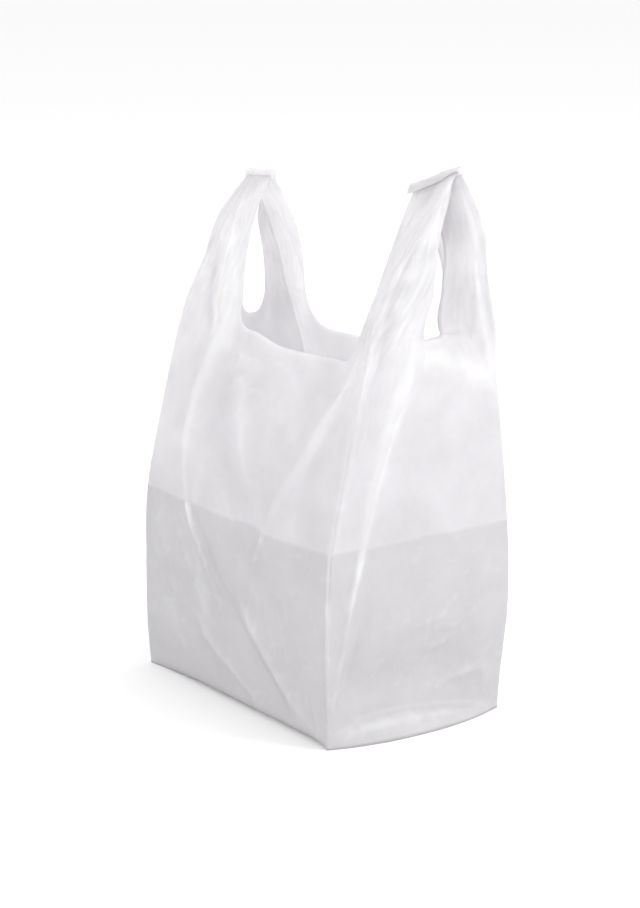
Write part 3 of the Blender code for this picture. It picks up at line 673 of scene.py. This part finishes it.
fin = [(-finWidth * 0.2, 0.0), (-finWidth * 0.2, finFilm), (finWidth * 0.2, finFilm),
       (finWidth * 0.8, finFilm * 0.5), (finWidth * 0.8, 0.0)]
bottomSeal = sealStrip("bottomSeal", fin, ((-reach, 0, 0), (reach, 0, 0)), 1, 120)
print("seals made")

# Film: white and milky, some light passes through it. Fold ridges, highlight paths, the rim and the
# straps are painted lighter as painted highlight, fold hollows get painted shade, and below the squared
# height the film is painted grey as painted shade of a load inside.
paint = {
    "colour": (0.905, 0.895, 0.909, 1), "loadShadeColour": (0.686, 0.675, 0.693, 1),
    "sealShadedColour": (0.90, 0.892, 0.902, 1), "sealLoadShade": (0.68, 0.67, 0.684, 1),
    # a painted highlight colour and a painted shade colour
    "white": (0.985, 0.985, 0.985, 1), "shade": (0.84, 0.83, 0.85, 1),
    "lineSoft": 0.0015,                                   # half the width of the tone line
    "through": 0.62, "lowerThrough": 0.30, "roughness": 0.52,
    "crestHighlight": 0.80, "valleyShade": 0.45, "strapPaintedLight": 0.38,
    "cloudScale": 26.0, "cloudTone": (0.95, 1.03),
    "streakPitch": (240, 34, 1), "streakTone": (0.92, 1.04),
    "bumpScale": 170.0, "bumpStrength": 0.45, "bumpDepth": 0.0008,
}


def ramp(nodes, links, source, low, high, start, stop):
    node = nodes.new("ShaderNodeMapRange")
    node.inputs["From Min"].default_value = low
    node.inputs["From Max"].default_value = high
    node.inputs["To Min"].default_value = start
    node.inputs["To Max"].default_value = stop
    links.new(source, node.inputs["Value"])
    return node.outputs["Result"]


def blend(nodes, links, factor, first, second, mode="MIX"):
    node = nodes.new("ShaderNodeMix")
    node.data_type = "RGBA"
    node.blend_type = mode
    for socket, value in (("Factor", factor), ("A", first), ("B", second)):
        if isinstance(value, bpy.types.NodeSocket):
            links.new(value, node.inputs[socket])
        else:
            node.inputs[socket].default_value = value
    return node.outputs["Result"]


def noiseAt(nodes, links, place, scale, stretch, detail):
    mapping = nodes.new("ShaderNodeMapping")
    mapping.inputs["Scale"].default_value = stretch
    links.new(place, mapping.inputs["Vector"])
    node = nodes.new("ShaderNodeTexNoise")
    node.inputs["Scale"].default_value = scale
    node.inputs["Detail"].default_value = detail
    node.inputs["Roughness"].default_value = 0.6
    links.new(mapping.outputs["Vector"], node.inputs["Vector"])
    return node.outputs["Fac"]


def makeFilm(name, colour, loadShadeColour):
    film = bpy.data.materials.new(name)
    film.use_nodes = True
    nodes, links = film.node_tree.nodes, film.node_tree.links
    gloss = nodes["Principled BSDF"]
    gloss.inputs["Roughness"].default_value = paint["roughness"]
    place = nodes.new("ShaderNodeTexCoord").outputs["Object"]
    split = nodes.new("ShaderNodeSeparateXYZ")
    links.new(place, split.inputs["Vector"])
    # Below the squared height the film is painted grey, painted shade as of a load inside, and less
    # light passes through it there.
    line, soft = bag["squareHeight"], paint["lineSoft"]
    upper = ramp(nodes, links, split.outputs["Z"], line - soft, line + soft, 0, 1)
    tone = blend(nodes, links, upper, loadShadeColour, colour)
    # Painted highlight on fold ridges, highlight paths and the rim, and painted shade in fold hollows.
    crest = nodes.new("ShaderNodeAttribute")
    crest.attribute_name = "crest"
    highlightShare = ramp(nodes, links, crest.outputs["Fac"], 0.05, 1.0, 0, paint["crestHighlight"])
    strandOf = nodes.new("ShaderNodeAttribute")
    strandOf.attribute_name = "strand"
    pulled = strandOf.outputs["Fac"]
    # The straps painted lighter: painted light against their shade.
    strapLightMix = ramp(nodes, links, pulled, 0, 1, 0, paint["strapPaintedLight"])
    tone = blend(nodes, links, strapLightMix, tone, paint["white"])
    shadeShare = ramp(nodes, links, crest.outputs["Fac"], -0.1, -1.1, 0, paint["valleyShade"])
    tone = blend(nodes, links, highlightShare, tone, paint["white"])
    tone = blend(nodes, links, shadeShare, tone, paint["shade"], "MULTIPLY")
    cloud = noiseAt(nodes, links, place, paint["cloudScale"], (1, 1, 1), 5)
    cloudTone = ramp(nodes, links, cloud, 0.3, 0.7, *paint["cloudTone"])
    tone = blend(nodes, links, 1.0, tone, cloudTone, "MULTIPLY")
    lengthwise = nodes.new("ShaderNodeUVMap")
    lengthwise.uv_map = "filmUv"
    streak = noiseAt(nodes, links, lengthwise.outputs["UV"], 1.0, paint["streakPitch"], 6)
    streakTone = ramp(nodes, links, streak, 0.35, 0.65, *paint["streakTone"])
    streaked = blend(nodes, links, 1.0, tone, streakTone, "MULTIPLY")
    tone = blend(nodes, links, pulled, tone, streaked)
    links.new(tone, gloss.inputs["Base Color"])
    through = nodes.new("ShaderNodeBsdfTranslucent")
    links.new(tone, through.inputs["Color"])
    both = nodes.new("ShaderNodeMixShader")
    share = ramp(nodes, links, upper, 0, 1, paint["lowerThrough"], paint["through"])
    links.new(share, both.inputs["Fac"])
    links.new(gloss.outputs["BSDF"], both.inputs[1])
    links.new(through.outputs["BSDF"], both.inputs[2])
    links.new(both.outputs["Shader"], nodes["Material Output"].inputs["Surface"])
    height = noiseAt(nodes, links, place, paint["bumpScale"], (1, 1, 0.6), 6)
    bump = nodes.new("ShaderNodeBump")
    bump.inputs["Strength"].default_value = paint["bumpStrength"]
    bump.inputs["Distance"].default_value = paint["bumpDepth"]
    links.new(height, bump.inputs["Height"])
    links.new(bump.outputs["Normal"], gloss.inputs["Normal"])
    links.new(bump.outputs["Normal"], through.inputs["Normal"])
    return film


filmPaint = makeFilm("filmPaint", paint["colour"], paint["loadShadeColour"])
# The seals' paint is a touch greyer copy of the film's: painted shade on the seals.
sealShadedPaint = makeFilm("sealShadedPaint", paint["sealShadedColour"], paint["sealLoadShade"])
print("film painted")

for piece in (bagFilm, rightHandleSeal, leftHandleSeal, bottomSeal):
    piece.data.materials.clear()
    piece.data.materials.append(filmPaint if piece is bagFilm else sealShadedPaint)
    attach(piece, "root")
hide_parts("film_bag")

# Studio: a white floor that keeps the soft shadow, one large lamp behind on the right, a weaker
# fill at the front and one above.
studio = {
    "world": 0.98,
    "floorRadius": 14, "floorGrey": 0.86, "floorLift": 0.09,
    "lamps": {                                            # power, size and place
        "key": (33.0, 1.2, (1.6, 1.3, 1.9)),
        "fill": (12.0, 1.6, (0.2, -2.6, 1.2)),
        "top": (9.0, 1.4, (-0.3, 0.2, 2.4)),
    },
    "aim": (0, 0, 0.2),
    "cameraPlace": (1.8158, -1.2896, 0.7914), "cameraDown": 14.86, "cameraTurn": 54.62,
    "lens": 111.0,
}
floorMesh = bmesh.new()
bmesh.ops.create_circle(floorMesh, segments=96, radius=studio["floorRadius"], cap_ends=True)
floorData = bpy.data.meshes.new("floor")
floorMesh.to_mesh(floorData)
floorMesh.free()
floor = bpy.data.objects.new("floor", floorData)
bpy.context.collection.objects.link(floor)


def makeFloorPaint():
    # a matt white that only the camera sees a little lifted
    material = bpy.data.materials.new("floorPaint")
    material.use_nodes = True
    nodes, links = material.node_tree.nodes, material.node_tree.links
    matt = nodes["Principled BSDF"]
    matt.inputs["Base Color"].default_value = (studio["floorGrey"],) * 3 + (1,)
    matt.inputs["Roughness"].default_value = 0.9
    glow = nodes.new("ShaderNodeEmission")
    glow.inputs["Strength"].default_value = studio["floorLift"]
    rays = nodes.new("ShaderNodeLightPath")
    lifted = nodes.new("ShaderNodeMixShader")
    add = nodes.new("ShaderNodeAddShader")
    links.new(matt.outputs["BSDF"], add.inputs[0])
    links.new(glow.outputs["Emission"], add.inputs[1])
    links.new(rays.outputs["Is Camera Ray"], lifted.inputs["Fac"])
    links.new(matt.outputs["BSDF"], lifted.inputs[1])
    links.new(add.outputs["Shader"], lifted.inputs[2])
    links.new(lifted.outputs["Shader"], nodes["Material Output"].inputs["Surface"])
    return material


def lightWorld():
    # white all round: full white where it is seen, and a little less as light
    world = bpy.data.worlds.new("studio")
    world.use_nodes = True
    nodes, links = world.node_tree.nodes, world.node_tree.links
    rays = nodes.new("ShaderNodeLightPath")
    seen = rays.outputs["Is Camera Ray"]
    for kind in ("Is Glossy Ray", "Is Transmission Ray"):
        either = nodes.new("ShaderNodeMath")
        either.operation = "MAXIMUM"
        links.new(seen, either.inputs[0])
        links.new(rays.outputs[kind], either.inputs[1])
        seen = either.outputs["Value"]
    strength = ramp(nodes, links, seen, 0, 1, studio["world"], 1.0)
    links.new(strength, nodes["Background"].inputs["Strength"])
    nodes["Background"].inputs["Color"].default_value = (1, 1, 1, 1)
    return world


def softLamp(name, power, size, position):
    data = bpy.data.lights.new(name, "AREA")
    data.energy = power
    data.shape = "DISK"
    data.size = size
    lamp = bpy.data.objects.new(name, data)
    lamp.location = position
    lamp.rotation_euler = (Vector(position) - Vector(studio["aim"])).to_track_quat("Z", "Y").to_euler()
    bpy.context.collection.objects.link(lamp)


floorData.materials.append(makeFloorPaint())
bpy.context.scene.world = lightWorld()
for name, (power, size, position) in studio["lamps"].items():
    softLamp(name, power, size, position)

camera = bpy.data.objects.new("camera", bpy.data.cameras.new("camera"))
camera.data.lens = studio["lens"]
camera.data.sensor_width = 36
camera.data.clip_end = 60
camera.location = studio["cameraPlace"]
camera.rotation_euler = (math.radians(90 - studio["cameraDown"]), 0, math.radians(studio["cameraTurn"]))
bpy.context.collection.objects.link(camera)
bpy.context.scene.camera = camera
bpy.context.scene.view_settings.view_transform = "Standard"
print("studio set")
